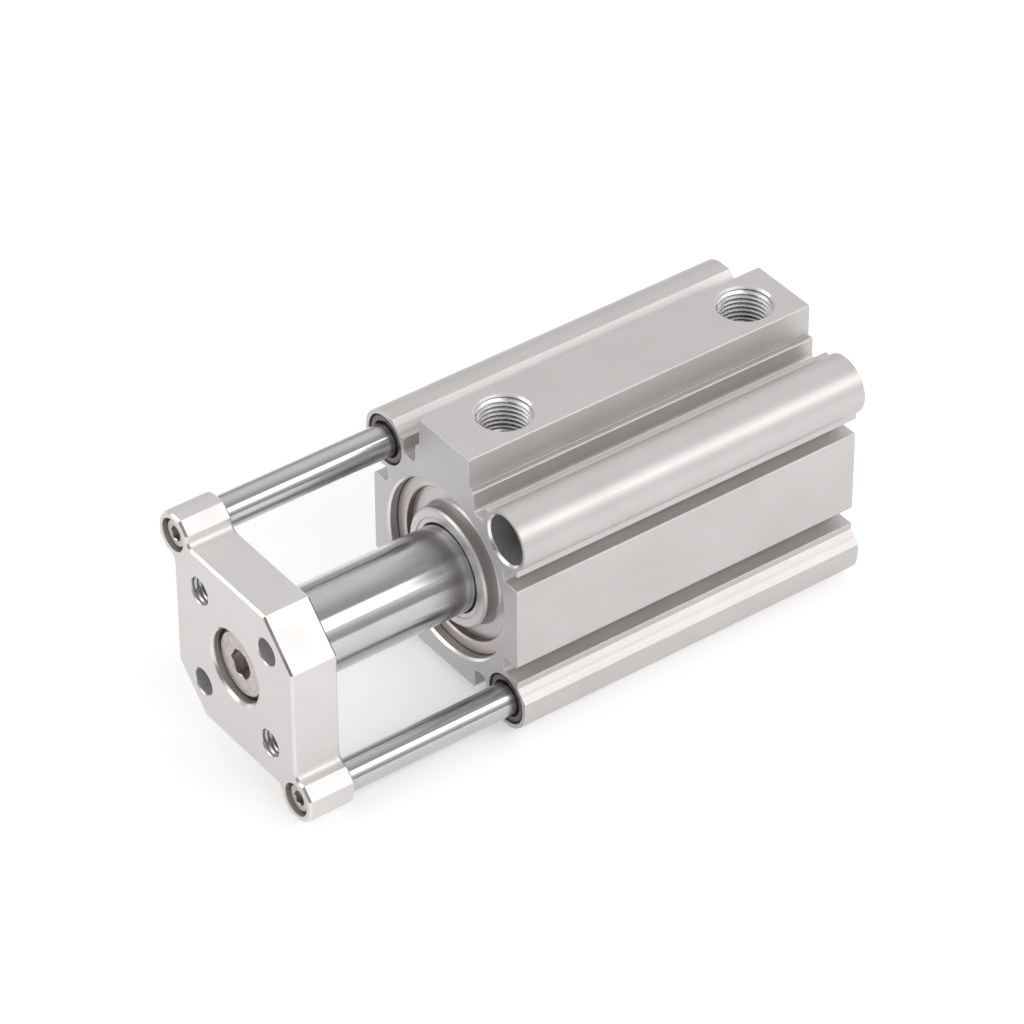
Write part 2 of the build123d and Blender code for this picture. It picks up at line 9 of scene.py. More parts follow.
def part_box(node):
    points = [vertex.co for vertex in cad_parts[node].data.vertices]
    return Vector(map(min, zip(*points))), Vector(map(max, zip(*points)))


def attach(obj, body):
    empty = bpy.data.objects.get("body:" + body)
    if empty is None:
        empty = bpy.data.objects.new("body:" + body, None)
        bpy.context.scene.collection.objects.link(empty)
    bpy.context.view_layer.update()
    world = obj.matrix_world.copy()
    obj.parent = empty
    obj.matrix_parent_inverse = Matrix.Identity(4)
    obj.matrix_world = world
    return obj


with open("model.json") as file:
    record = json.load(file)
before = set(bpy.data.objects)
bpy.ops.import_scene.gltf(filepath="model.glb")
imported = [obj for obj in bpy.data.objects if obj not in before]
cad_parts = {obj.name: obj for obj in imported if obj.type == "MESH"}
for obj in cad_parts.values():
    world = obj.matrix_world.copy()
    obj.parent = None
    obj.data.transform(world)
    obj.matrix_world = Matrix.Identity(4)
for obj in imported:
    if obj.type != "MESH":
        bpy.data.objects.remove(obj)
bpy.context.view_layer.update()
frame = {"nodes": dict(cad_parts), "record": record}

# Camera
# It looks down on the end plate from the front right with a long lens, as in the photograph.
# The view transform is the plain one, so a colour renders about as it is written.
mm = 0.001
view_azimuth = math.radians(-126.375)
view_elevation = math.radians(-38.516)
view_roll = math.radians(-0.212)
view_distance = 911.8 * mm
view_aim = Vector((-15.72, -2.35, 3.29)) * mm
lens_length = 189.07

view_direction = Vector((
    math.cos(view_elevation) * math.cos(view_azimuth),
    math.cos(view_elevation) * math.sin(view_azimuth),
    math.sin(view_elevation),
))
camera_data = bpy.data.cameras.new("camera")
camera_data.lens = lens_length
camera_data.sensor_width = 36
camera_data.clip_start = 0.01
camera_data.clip_end = 20
camera = bpy.data.objects.new("camera", camera_data)
camera.rotation_mode = "QUATERNION"
camera.rotation_quaternion = view_direction.to_track_quat("-Z", "Y") @ Quaternion((0, 0, 1), view_roll)
camera.location = view_aim - view_direction * view_distance
bpy.context.scene.collection.objects.link(camera)
bpy.context.scene.camera = camera
bpy.context.scene.view_settings.view_transform = "Standard"


# Floor
# White table that the cylinder lies on, on its two lower lobes. It is lifted to the white of the
# background where nothing shades it, and keeps the soft shadow.
floor_half = 2.0
floor_colour = 0.8
floor_glow = 0.36


def add_node(tree, kind, **settings):
    """A new shader node with these settings."""
    node = tree.nodes.new(kind)
    for key, value in settings.items():
        setattr(node, key, value)
    return node


def either(tree, first, second):
    """The larger of two factors."""
    larger = add_node(tree, "ShaderNodeMath", operation="MAXIMUM")
    tree.links.new(first, larger.inputs[0])
    tree.links.new(second, larger.inputs[1])
    return larger.outputs[0]


def seen_directly(tree):
    """1 for rays from the camera and from mirrors and glass, 0 for the light that falls on things."""
    path = add_node(tree, "ShaderNodeLightPath")
    mirrored = either(tree, path.outputs["Is Camera Ray"], path.outputs["Is Glossy Ray"])
    return either(tree, mirrored, path.outputs["Is Transmission Ray"])


def floor_finish():
    """Matt white that is lifted to the background's white where nothing shades it."""
    material = bpy.data.materials.new("white_table")
    material.use_nodes = True
    tree = material.node_tree
    tree.nodes.clear()
    matt = add_node(tree, "ShaderNodeBsdfDiffuse")
    matt.inputs["Color"].default_value = (floor_colour, floor_colour, floor_colour, 1)
    glow = add_node(tree, "ShaderNodeEmission")
    lift = add_node(tree, "ShaderNodeMath", operation="MULTIPLY")
    lift.inputs[1].default_value = floor_glow
    tree.links.new(seen_directly(tree), lift.inputs[0])
    tree.links.new(lift.outputs[0], glow.inputs["Strength"])
    both = add_node(tree, "ShaderNodeAddShader")
    tree.links.new(matt.outputs[0], both.inputs[0])
    tree.links.new(glow.outputs[0], both.inputs[1])
    output = add_node(tree, "ShaderNodeOutputMaterial")
    tree.links.new(both.outputs[0], output.inputs["Surface"])
    return material


def mesh_object(name, shape):
    """An object at the origin with the bmesh as its mesh, linked to the scene."""
    mesh = bpy.data.meshes.new(name)
    shape.to_mesh(mesh)
    shape.free()
    made = bpy.data.objects.new(name, mesh)
    bpy.context.scene.collection.objects.link(made)
    return made


floor_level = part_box("cylinder_tube")[0].z
shape = bmesh.new()
bmesh.ops.create_grid(shape, x_segments=1, y_segments=1, size=floor_half)
bmesh.ops.translate(shape, verts=shape.verts, vec=(0, 0, floor_level))
floor = mesh_object("floor", shape)
floor.data.materials.append(floor_finish())


# Studio light
# A white room with a softbox along the right of the body, an oval lamp and a grey card ahead, and
# a sheer tent over all, whose grey seams the rods and lobes mirror as streaks.
tent_bands = [  # degrees round the cylinder's axis, and how much light the cloth lets through there
    (-180, 1.0),
    (-14, 1.0),
    (-4, 0.44),
    (7, 0.5),
    (15, 0.6),
    (24, 1.0),
    (53, 1.0),
    (61, 0.48),
    (78, 0.58),
    (94, 0.82),
    (110, 0.94),
    (130, 0.92),
    (144, 0.84),
    (158, 0.5),
    (172, 0.56),
    (180, 0.8),
]
tent_radius = 1.2
tent_rear = -2.6
tent_front = 1.6
tent_segments = 96
softbox_angle = math.radians(43)  # up from the cylinder's right
softbox_along = -0.464  # x of its direction, so it stands towards the rear
softbox_distance = 0.75
softbox_length = 0.9
softbox_width = 0.31
softbox_radiance = 2.1
lamp_direction = Vector((0.68, -0.52, 0.52)).normalized()
lamp_distance = 1.0
lamp_width = 0.6
lamp_height = 0.3
lamp_radiance = 2.6
card_direction = Vector((0.885, 0.32, 0.33)).normalized()
card_distance = 1.35
card_radius = 0.5
card_level = 0.2  # how much light the card lets through


def sheer_cloth(name):
    """A material with one clear shader, which comes with it."""
    material = bpy.data.materials.new(name)
    material.use_nodes = True
    tree = material.node_tree
    tree.nodes.clear()
    cloth = add_node(tree, "ShaderNodeBsdfTransparent")
    output = add_node(tree, "ShaderNodeOutputMaterial")
    tree.links.new(cloth.outputs[0], output.inputs["Surface"])
    return material, cloth


def sheer_tent():
    """Cloth that is clear except at its seams, which darken what it lets through."""
    material, cloth = sheer_cloth("sheer_tent")
    tree = material.node_tree
    place = add_node(tree, "ShaderNodeTexCoord")
    split = add_node(tree, "ShaderNodeSeparateXYZ")
    tree.links.new(place.outputs["Object"], split.inputs[0])
    angle = add_node(tree, "ShaderNodeMath", operation="ARCTAN2")
    tree.links.new(split.outputs["Z"], angle.inputs[0])
    tree.links.new(split.outputs["Y"], angle.inputs[1])
    turn = add_node(tree, "ShaderNodeMapRange")
    turn.inputs["From Min"].default_value = -math.pi
    turn.inputs["From Max"].default_value = math.pi
    tree.links.new(angle.outputs[0], turn.inputs["Value"])
    bands = add_node(tree, "ShaderNodeValToRGB")
    stops = bands.color_ramp.elements
    stops.remove(stops[1])
    for index, (degrees, level) in enumerate(tent_bands):
        stop = stops[0] if index == 0 else stops.new(1)
        stop.position = (degrees + 180) / 360
        stop.color = (level, level, level, 1)
    tree.links.new(turn.outputs[0], bands.inputs["Fac"])
    tree.links.new(bands.outputs["Color"], cloth.inputs["Color"])
    return material


shape = bmesh.new()
ends = [shape.verts.new((x, tent_radius, 0)) for x in (tent_rear, tent_front)]
seam = shape.edges.new(ends)
bmesh.ops.spin(
    shape,
    geom=ends + [seam],
    cent=(0, 0, 0),
    axis=(1, 0, 0),
    angle=math.tau,
    steps=tent_segments,
    use_merge=True,
    use_duplicate=False,
)
tent = mesh_object("tent", shape)
tent.data.materials.append(sheer_tent())
tent.visible_camera = False

shape = bmesh.new()
bmesh.ops.create_circle(shape, cap_ends=True, segments=tent_segments, radius=card_radius)
facing = card_direction.to_track_quat("Z", "Y").to_matrix()
bmesh.ops.rotate(shape, verts=shape.verts, matrix=facing)
bmesh.ops.translate(shape, verts=shape.verts, vec=card_direction * card_distance)
card = mesh_object("grey_card", shape)
card_cloth, card_shader = sheer_cloth("grey_card")
card_shader.inputs["Color"].default_value = (card_level, card_level, card_level, 1)
card.data.materials.append(card_cloth)
card.visible_camera = False

world = bpy.data.worlds.new("white_room")
bpy.context.scene.world = world
world.use_nodes = True
world.node_tree.nodes["Background"].inputs["Color"].default_value = (1, 1, 1, 1)


def lamp_power(area, radiance):
    """Power of a flat lamp with this area, whose whole face shines with this radiance."""
    return math.pi * area * radiance


softbox_across = math.sqrt(1 - softbox_along**2)
softbox_direction = Vector((
    softbox_along,
    softbox_across * math.cos(softbox_angle),
    softbox_across * math.sin(softbox_angle),
))
softbox_data = bpy.data.lights.new("softbox", "AREA")
softbox_data.shape = "RECTANGLE"
softbox_data.size = softbox_length
softbox_data.size_y = softbox_width
softbox_data.energy = lamp_power(softbox_length * softbox_width, softbox_radiance)
softbox = bpy.data.objects.new("softbox", softbox_data)
softbox.location = softbox_direction * softbox_distance
softbox.rotation_euler = (softbox_angle - math.pi / 2, 0, 0)
softbox.visible_camera = False
bpy.context.scene.collection.objects.link(softbox)

lamp_data = bpy.data.lights.new("oval_lamp", "AREA")
lamp_data.shape = "ELLIPSE"
lamp_data.size = lamp_width
lamp_data.size_y = lamp_height
lamp_data.energy = lamp_power(math.pi * lamp_width * lamp_height / 4, lamp_radiance)
lamp = bpy.data.objects.new("oval_lamp", lamp_data)
lamp.location = lamp_direction * lamp_distance
lamp.rotation_mode = "QUATERNION"
lamp.rotation_quaternion = (-lamp_direction).to_track_quat("-Z", "Y")
lamp.visible_camera = False
bpy.context.scene.collection.objects.link(lamp)


# Cylinder tube
# Aluminium, extruded along its length and clear anodised over a fine blasted surface. The ends
# are milled square after that, so they show bare, cooler metal. The bored walls are greyer.
# Its grooves and corners carry painted shade, and its edges and chamfers a painted highlight.
extrusion_colour = (0.632, 0.608, 0.598)
extrusion_shade = (0.593, 0.569, 0.559)
milled_end_colour = (0.605, 0.594, 0.607)
bored_colour = (0.5, 0.49, 0.485)
bored_speckle = (0.37, 0.362, 0.357)
bored_radius = 16.55 * mm  # takes in the bore and its seats, but not the ring grooves' floors
corner_bored_radius = 4.55 * mm  # takes in the holes and counterbores in the lobes
corner_offset = 17.0 * mm  # of each lobe's axis, across and up
extrusion_roughness = (0.39, 0.47)
extrusion_metallic = 0.6  # the rest of its gloss comes from the oxide over the metal
tube_edge_round = 0.18 * mm
# lighter edges and chamfers: wear, and a painted highlight
worn_edge_highlight_colour = (0.86, 0.84, 0.82)
worn_edge_gloss = 0.2  # how much less rough the broken edges are
edge_lean = (0.995, 0.93)  # cosine of the rounded normal's lean where the worn edge with its painted highlight starts and is full
chamfer_slope = (0.5, 0.65)  # x of a surface's direction where chamfers start, and are in full
# painted shade for the grooves and corners
groove_painted_shade = (0.3, 0.286, 0.27)
groove_reach = 2.6 * mm
groove_openness = (0.76, 0.4)  # share of open air where the painted shade starts and is full
die_line_scale = (8, 2500, 2500)
die_line_depth = 0.01 * mm
blast_grain_scale = 5200
blast_grain_depth = 0.018 * mm
cloud_scale = 90
bore_chatter_scale = 2600


def new_finish(name, metallic=1.0):
    """A material with one principled shader. Its node tree and shader come with it."""
    material = bpy.data.materials.new(name)
    material.use_nodes = True
    shader = material.node_tree.nodes["Principled BSDF"]
    shader.inputs["Metallic"].default_value = metallic
    return material, material.node_tree, shader


def noise(tree, scale, detail=2.0, stretch=(1, 1, 1)):
    """Noise on the piece's own coordinates, stretched along its axes."""
    place = add_node(tree, "ShaderNodeTexCoord")
    turn = add_node(tree, "ShaderNodeMapping")
    turn.inputs["Scale"].default_value = stretch
    tree.links.new(place.outputs["Object"], turn.inputs["Vector"])
    texture = add_node(tree, "ShaderNodeTexNoise")
    texture.inputs["Scale"].default_value = scale
    texture.inputs["Detail"].default_value = detail
    tree.links.new(turn.outputs[0], texture.inputs["Vector"])
    return texture.outputs["Fac"]


def between(tree, factor, low, high, from_low=0.3, from_high=0.7):
    """Maps a factor onto the range from low to high. Most of a noise lies from 0.3 to 0.7."""
    spread = add_node(tree, "ShaderNodeMapRange")
    spread.inputs["From Min"].default_value = from_low
    spread.inputs["From Max"].default_value = from_high
    spread.inputs["To Min"].default_value = low
    spread.inputs["To Max"].default_value = high
    tree.links.new(factor, spread.inputs["Value"])
    return spread.outputs["Result"]


def blended(tree, factor, first, second):
    """Mix of two colours, each a plain colour or another node's output."""
    mix = add_node(tree, "ShaderNodeMix", data_type="RGBA")
    tree.links.new(factor, mix.inputs["Factor"])
    for socket, colour in ((mix.inputs["A"], first), (mix.inputs["B"], second)):
        if isinstance(colour, tuple):
            socket.default_value = (*colour, 1)
        else:
            tree.links.new(colour, socket)
    return mix.outputs["Result"]


def shifted(tree, base, factor, amount):
    """The base value, moved by this amount where the factor is 1."""
    move = add_node(tree, "ShaderNodeMath", operation="MULTIPLY_ADD")
    move.inputs[1].default_value = amount
    tree.links.new(factor, move.inputs[0])
    tree.links.new(base, move.inputs[2])
    return move.outputs[0]


def relief(tree, height, depth, under=None):
    """Bump of the given depth in metres, on top of another bump or rounding if there is one."""
    bump = add_node(tree, "ShaderNodeBump")
    bump.inputs["Strength"].default_value = 1
    bump.inputs["Distance"].default_value = depth
    tree.links.new(height, bump.inputs["Height"])
    if under is not None:
        tree.links.new(under, bump.inputs["Normal"])
    return bump.outputs["Normal"]


def broken_edges(tree, radius):
    """Normals as if each edge were broken with this radius."""
    edge = add_node(tree, "ShaderNodeBevel", samples=4)
    edge.inputs["Radius"].default_value = radius
    return edge.outputs["Normal"]


def edge_wear_and_highlight(tree, rounded):
    """1 on broken edges and 0 on faces, by how far the rounded normals lean there. It marks wear and a
    painted highlight.
    """
    flat = add_node(tree, "ShaderNodeNewGeometry")
    lean = add_node(tree, "ShaderNodeVectorMath", operation="DOT_PRODUCT")
    tree.links.new(rounded, lean.inputs[0])
    tree.links.new(flat.outputs["Normal"], lean.inputs[1])
    return between(tree, lean.outputs["Value"], 0, 1, *edge_lean)


def radius_from_axis(tree, offset=0.0):
    """Distance from the cylinder's axis, or from the nearest of four axes set off by Y and Z."""
    place = add_node(tree, "ShaderNodeTexCoord")
    fold = add_node(tree, "ShaderNodeVectorMath", operation="ABSOLUTE")
    tree.links.new(place.outputs["Object"], fold.inputs[0])
    shift = add_node(tree, "ShaderNodeVectorMath", operation="SUBTRACT")
    shift.inputs[1].default_value = (0, offset, offset)
    tree.links.new(fold.outputs[0], shift.inputs[0])
    flatten = add_node(tree, "ShaderNodeVectorMath", operation="MULTIPLY")
    flatten.inputs[1].default_value = (0, 1, 1)
    tree.links.new(shift.outputs[0], flatten.inputs[0])
    length = add_node(tree, "ShaderNodeVectorMath", operation="LENGTH")
    tree.links.new(flatten.outputs[0], length.inputs[0])
    return length.outputs["Value"]


def inside(tree, distance, limit):
    """1 where the distance is under the limit, else 0."""
    test = add_node(tree, "ShaderNodeMath", operation="LESS_THAN")
    test.inputs[1].default_value = limit
    tree.links.new(distance, test.inputs[0])
    return test.outputs[0]


def facing_along_x(tree, low=0.9, high=0.97):
    """1 on faces that look along the cylinder's axis, 0 on its sides."""
    place = add_node(tree, "ShaderNodeTexCoord")
    split = add_node(tree, "ShaderNodeSeparateXYZ")
    tree.links.new(place.outputs["Normal"], split.inputs[0])
    size = add_node(tree, "ShaderNodeMath", operation="ABSOLUTE")
    tree.links.new(split.outputs["X"], size.inputs[0])
    return between(tree, size.outputs[0], 0, 1, low, high)


def end_chamfers(tree):
    """1 on the sloping chamfers of ends and holes, 0 on the faces and walls beside them."""
    sloping = facing_along_x(tree, *chamfer_slope)
    return shifted(tree, sloping, facing_along_x(tree), -1)


def crevices(tree, reach):
    """Mask of painted shade: 1 deep in grooves, 0 on open faces, by how much wall stands within this
    reach.
    """
    shade = add_node(tree, "ShaderNodeAmbientOcclusion", samples=6, only_local=True)
    shade.inputs["Distance"].default_value = reach
    return between(tree, shade.outputs["AO"], 0, 1, *groove_openness)


def anodised_extrusion():
    """Satin anodised extrusion with faint die lines along its length; its worn edges and chamfers
    carry a painted highlight, and its grooves painted shade.
    """
    material, tree, shader = new_finish("anodised_extrusion")
    clouds = noise(tree, cloud_scale, detail=3)
    sides = blended(tree, between(tree, clouds, 0, 1), extrusion_colour, extrusion_shade)
    chatter = noise(tree, bore_chatter_scale, detail=3)
    walls = blended(tree, between(tree, chatter, 0, 1), bored_colour, bored_speckle)
    bored = either(
        tree,
        inside(tree, radius_from_axis(tree), bored_radius),
        inside(tree, radius_from_axis(tree, corner_offset), corner_bored_radius),
    )
    ends = facing_along_x(tree)
    # painted shade darkens the grooves and corners
    outside = blended(tree, crevices(tree, groove_reach), sides, groove_painted_shade)
    colour = blended(tree, ends, blended(tree, bored, outside, walls), milled_end_colour)
    rounded = broken_edges(tree, tube_edge_round)
    chamfers = end_chamfers(tree)
    wear_and_highlight = either(tree, edge_wear_and_highlight(tree, rounded), chamfers)
    # edges and chamfers are painted lighter, a painted highlight over the wear
    tree.links.new(blended(tree, wear_and_highlight, colour, worn_edge_highlight_colour), shader.inputs["Base Color"])
    tree.links.new(between(tree, chamfers, extrusion_metallic, 1, 0, 1), shader.inputs["Metallic"])
    die_lines = noise(tree, 1, stretch=die_line_scale)
    satin = between(tree, die_lines, *extrusion_roughness)
    tree.links.new(shifted(tree, satin, wear_and_highlight, -worn_edge_gloss), shader.inputs["Roughness"])
    grain = noise(tree, blast_grain_scale)
    blasted = relief(tree, grain, blast_grain_depth, rounded)
    drawn = relief(tree, die_lines, die_line_depth, blasted)
    tree.links.new(drawn, shader.inputs["Normal"])
    return material


def paint(material, *nodes):
    """Gives CAD nodes this material instead of their plain one."""
    for name in nodes:
        mesh = frame["nodes"][name].data
        mesh.materials.clear()
        mesh.materials.append(material)


paint(anodised_extrusion(), "cylinder_tube")


# Port threads
# The two air ports are tapped with a 1/8 inch pipe thread. Each thread is one helical ridge
# that stands in from the drilled wall, with a painted highlight on its crests and painted shade at its
# roots and depth.
port_pitch = 0.907 * mm
port_thread_height = 0.47 * mm
# painted highlight at the crests, painted shade at the roots and deep down
cut_crest_highlight = (0.88, 0.87, 0.855)
cut_root_shade = (0.56, 0.553, 0.54)
cut_deep_shade = (0.2, 0.195, 0.188)
cut_roughness = (0.24, 0.34)
crest_spread = (0.1, 0.9)  # share of the flank where the painted crest highlight starts and is full
score_scale = 2400
score_depth = 0.0006 * mm
port_depth_shade = (0.85, 0.0)  # how much painted shade darkens it, at the bottom and at the mouth
thread_crest_share = 0.16  # of the pitch, as is the next
thread_root_share = 0.96
thread_end_share = 0.08  # of the full height, where a ridge runs out
thread_sink = 0.02 * mm  # how far the ridge's root stands in the wall
thread_spare_turns = 2  # one past each end, which the end planes cut off
thread_steps = 72  # in a turn


def helical_thread(name, centre, radius, low, high, pitch, height, depth_shade, axis):
    """Internal thread: a ridge wound along Z or X that runs out at its low and high end.

    Its points carry how near they are to the crest, and how much painted shade darkens them at their
    depth.
    """
    shape = bmesh.new()
    half_root = thread_root_share * pitch / 2
    half_crest = thread_crest_share * pitch / 2
    outer = radius + thread_sink
    inner = radius - height
    section = [(outer, -half_root), (inner, -half_crest), (inner, half_crest), (outer, half_root)]
    corners = [shape.verts.new((r, 0, z)) for r, z in section]
    sides = [shape.edges.new((corners[i], corners[i - 1])) for i in range(len(corners))]
    turns = (high - low) / pitch + thread_spare_turns
    steps = round(turns * thread_steps)
    bmesh.ops.spin(
        shape,
        geom=corners + sides,
        cent=(0, 0, 0),
        axis=(0, 0, 1),
        dvec=(0, 0, turns * pitch / steps),
        angle=turns * math.tau,
        steps=steps,
        use_duplicate=False,
    )
    bmesh.ops.translate(shape, verts=shape.verts, vec=(0, 0, low - pitch))
    for level, outward in ((low, -1), (high, 1)):
        whole = shape.verts[:] + shape.edges[:] + shape.faces[:]
        bmesh.ops.bisect_plane(
            shape, geom=whole, plane_co=(0, 0, level), plane_no=(0, 0, outward), clear_outer=True
        )
    ends = [edge for edge in shape.edges if edge.is_boundary]
    bmesh.ops.holes_fill(shape, edges=ends, sides=0)
    bmesh.ops.recalc_face_normals(shape, faces=shape.faces)
    crest = shape.verts.layers.float.new("crest")
    painted_depth_shade = shape.verts.layers.float.new("painted_depth_shade")
    for vert in shape.verts:
        sunk = (high - vert.co.z) / (high - low)
        vert[painted_depth_shade] = depth_shade[1] + (depth_shade[0] - depth_shade[1]) * sunk**2
        from_end = max(0, min(1, (vert.co.z - low) / pitch, (high - vert.co.z) / pitch))
        share = thread_end_share + (1 - thread_end_share) * from_end
        across = math.hypot(vert.co.x, vert.co.y)
        vert[crest] = (outer - across) / (outer - inner)
        moved = (outer - (outer - across) * share) / across
        vert.co.x *= moved
        vert.co.y *= moved
    if axis == "X":
        bmesh.ops.rotate(shape, verts=shape.verts, matrix=Matrix.Rotation(math.pi / 2, 3, "Y"))
    bmesh.ops.translate(shape, verts=shape.verts, vec=centre)
    return mesh_object(name, shape)


def cut_metal():
    """Bare metal with a painted highlight on the crests, painted shade at the roots, and painted shade
    that deepens down the hole.
    """
    material, tree, shader = new_finish("tapped_aluminium")
    scores = noise(tree, score_scale)
    crest = add_node(tree, "ShaderNodeAttribute", attribute_name="crest")
    painted_depth_shade = add_node(tree, "ShaderNodeAttribute", attribute_name="painted_depth_shade")
    ridge = between(tree, crest.outputs["Fac"], 0, 1, *crest_spread)
    ridge_light_and_shade = blended(tree, ridge, cut_root_shade, cut_crest_highlight)
    # painted highlight on the crests, painted shade at the roots and with depth
    tree.links.new(blended(tree, painted_depth_shade.outputs["Fac"], ridge_light_and_shade, cut_deep_shade), shader.inputs["Base Color"])
    tree.links.new(between(tree, scores, *cut_roughness), shader.inputs["Roughness"])
    tree.links.new(relief(tree, scores, score_depth), shader.inputs["Normal"])
    return material


mounts = {mount["name"]: mount for mount in frame["record"]["mounts"]}
tapped = cut_metal()
for port in ("rod_side_port", "head_side_port"):
    x, y, z = mounts[port]["pos_m"]
    reach = mounts[port]["dims"]["length_mm"] * mm
    thread = helical_thread(
        f"{port}_thread",
        (x, y, 0),
        mounts[port]["dims"]["r_mm"] * mm,
        z - reach / 2,
        z + reach / 2,
        port_pitch,
        port_thread_height,
        port_depth_shade,
        "Z",
    )
    thread.data.materials.append(tapped)
    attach(thread, "cylinder")


# Rod cover and head cover
# Turned from aluminium bar, so fine rings run round their faces, and then anodised. The piston
# on the rod's rear end is turned the same way.
cover_colour = (0.7, 0.68, 0.67)
cover_shade = (0.665, 0.645, 0.636)
cover_metallic = 0.85
cover_roughness = (0.38, 0.46)
cover_edge_round = 0.3 * mm
cover_grain_scale = 4500
cover_grain_depth = 0.006 * mm
tool_ring_scale = 2600
tool_ring_depth = 0.0015 * mm


def tool_rings(tree, scale):
    """Noise that changes only with the distance from the axis, like a turning tool's marks."""
    texture = add_node(tree, "ShaderNodeTexNoise", noise_dimensions="1D")
    texture.inputs["Scale"].default_value = scale
    texture.inputs["Detail"].default_value = 3
    tree.links.new(radius_from_axis(tree), texture.inputs["W"])
    return texture.outputs["Fac"]


def turned_aluminium():
    """Turned and anodised: rings in colour, gloss and relief."""
    material, tree, shader = new_finish("turned_aluminium", cover_metallic)
    rings = tool_rings(tree, tool_ring_scale)
    colour = blended(tree, between(tree, rings, 0, 1), cover_colour, cover_shade)
    tree.links.new(colour, shader.inputs["Base Color"])
    tree.links.new(between(tree, rings, *cover_roughness), shader.inputs["Roughness"])
    rounded = broken_edges(tree, cover_edge_round)
    grain = relief(tree, noise(tree, cover_grain_scale), cover_grain_depth, rounded)
    tree.links.new(relief(tree, rings, tool_ring_depth, grain), shader.inputs["Normal"])
    return material


paint(turned_aluminium(), "rod_cover", "head_cover", "piston")


# Retaining rings
# Each is spring steel stamped from sheet, phosphated and oiled to a warm brown grey. Its inner
# edge is rolled over and carries a painted highlight; the flank inside it and a rim at the groove's
# mouth carry painted shade.
ring_colour = (0.7, 0.63, 0.61)
ring_stain = (0.645, 0.58, 0.56)
# painted highlight on the rolled inner edge, and painted shade on the flank and at the groove's mouth
ring_edge_highlight = (0.84, 0.77, 0.76)
ring_painted_shade = (0.2, 0.155, 0.14)
ring_inner_radius = 14.1 * mm
ring_flank_width = 0.06 * mm
ring_roll_width = 0.42 * mm
ring_groove_mouth = 16.5 * mm
ring_groove_shade = 0.25 * mm  # how wide a rim of painted shade the groove's mouth lays on the ring
ring_roughness = (0.3, 0.4)
ring_roll_matt = 0.15  # how much rougher the rolled edge is
phosphate_metallic = 0.7
stain_scale = 1100
stain_spread = (0.4, 0.75)
crystal_scale = 7000
crystal_depth = 0.006 * mm


def phosphated_steel():
    """Phosphate coat: matt crystals and darker oil stains."""
    material, tree, shader = new_finish("phosphated_spring_steel", phosphate_metallic)
    stains = noise(tree, stain_scale, detail=3)
    face = blended(tree, between(tree, stains, 0, 1, *stain_spread), ring_colour, ring_stain)
    distance = radius_from_axis(tree)
    rolled = inside(tree, distance, ring_inner_radius + ring_roll_width)
    shaded_flank = inside(tree, distance, ring_inner_radius + ring_flank_width)
    open_face = inside(tree, distance, ring_groove_mouth - ring_groove_shade)
    # painted shade at the groove's mouth and on the flank, painted highlight on the rolled edge
    seated = blended(tree, open_face, ring_painted_shade, blended(tree, rolled, face, ring_edge_highlight))
    tree.links.new(blended(tree, shaded_flank, seated, ring_painted_shade), shader.inputs["Base Color"])
    satin = between(tree, stains, *ring_roughness)
    tree.links.new(shifted(tree, satin, rolled, ring_roll_matt), shader.inputs["Roughness"])
    tree.links.new(relief(tree, noise(tree, crystal_scale), crystal_depth), shader.inputs["Normal"])
    return material


paint(phosphated_steel(), "rod_cover_retaining_ring", "head_cover_retaining_ring")


# Piston rod and guide rods
# Ground and hard chromed steel. Grinding leaves fine marks round the rod, which blur what it
# mirrors along its length.
chrome_colour = (0.56, 0.56, 0.575)
chrome_haze = (0.53, 0.53, 0.54)
haze_scale = 160
grinding_scale = (9000, 40, 40)
grinding_depth = 0.0006 * mm
grinding_blur = 0.95  # from 0, the same each way, to 1, along the rod alone
ground_roughness = (0.16, 0.21)


def hard_chrome():
    """Bright chrome with fine grinding marks round the rod."""
    material, tree, shader = new_finish("hard_chrome")
    haze = noise(tree, haze_scale, detail=3)
    colour = blended(tree, between(tree, haze, 0, 1), chrome_colour, chrome_haze)
    tree.links.new(colour, shader.inputs["Base Color"])
    marks = noise(tree, 1, stretch=grinding_scale)
    tree.links.new(between(tree, marks, *ground_roughness), shader.inputs["Roughness"])
    along = add_node(
        tree,
        "ShaderNodeVectorTransform",
        vector_type="VECTOR",
        convert_from="OBJECT",
        convert_to="WORLD",
    )
    along.inputs[0].default_value = (1, 0, 0)
    tree.links.new(along.outputs[0], shader.inputs["Tangent"])
    shader.inputs["Anisotropic"].default_value = grinding_blur
    tree.links.new(relief(tree, marks, grinding_depth), shader.inputs["Normal"])
    return material


paint(hard_chrome(), "piston_rod", "guide_rod_upper", "guide_rod_lower")


# End plate
# Milled from aluminium plate, its edges broken, then blasted fine and clear anodised. It is
# brighter than the tube.
plate_colour = (0.75, 0.725, 0.715)
plate_shade = (0.737, 0.712, 0.702)
# the plate's flat faces are painted darker, as shade
plate_face_shade = (0.665, 0.643, 0.637)
plate_roughness = (0.47, 0.53)
plate_side_matt = 0.11  # how much rougher the sides are than the milled faces
plate_chamfer_gloss = 0.12  # how much less rough the chamfers are than the faces
milled_slope = (0.3, 0.6)  # x of a surface's direction where milled faces start, and are in full
plate_lobe_radius = 6.0 * mm
plate_bore_colour = (0.6, 0.587, 0.583)
plate_bore_metallic = 0.7
counterbore_colour = (0.5, 0.475, 0.455)
plate_hole_offset = mounts["plate_holes"]["dims"]["spacing_x_mm"] / 2 * mm
plate_hole_reach = 2.6 * mm  # takes in a hole's wall, as the next two do for the counterbores
plate_counterbore_reach = 6.8 * mm
guide_counterbore_reach = 3.15 * mm
plate_edge_round = 0.1 * mm
plate_cloud_scale = 140
plate_bead_scale = 5600
plate_bead_depth = 0.01 * mm


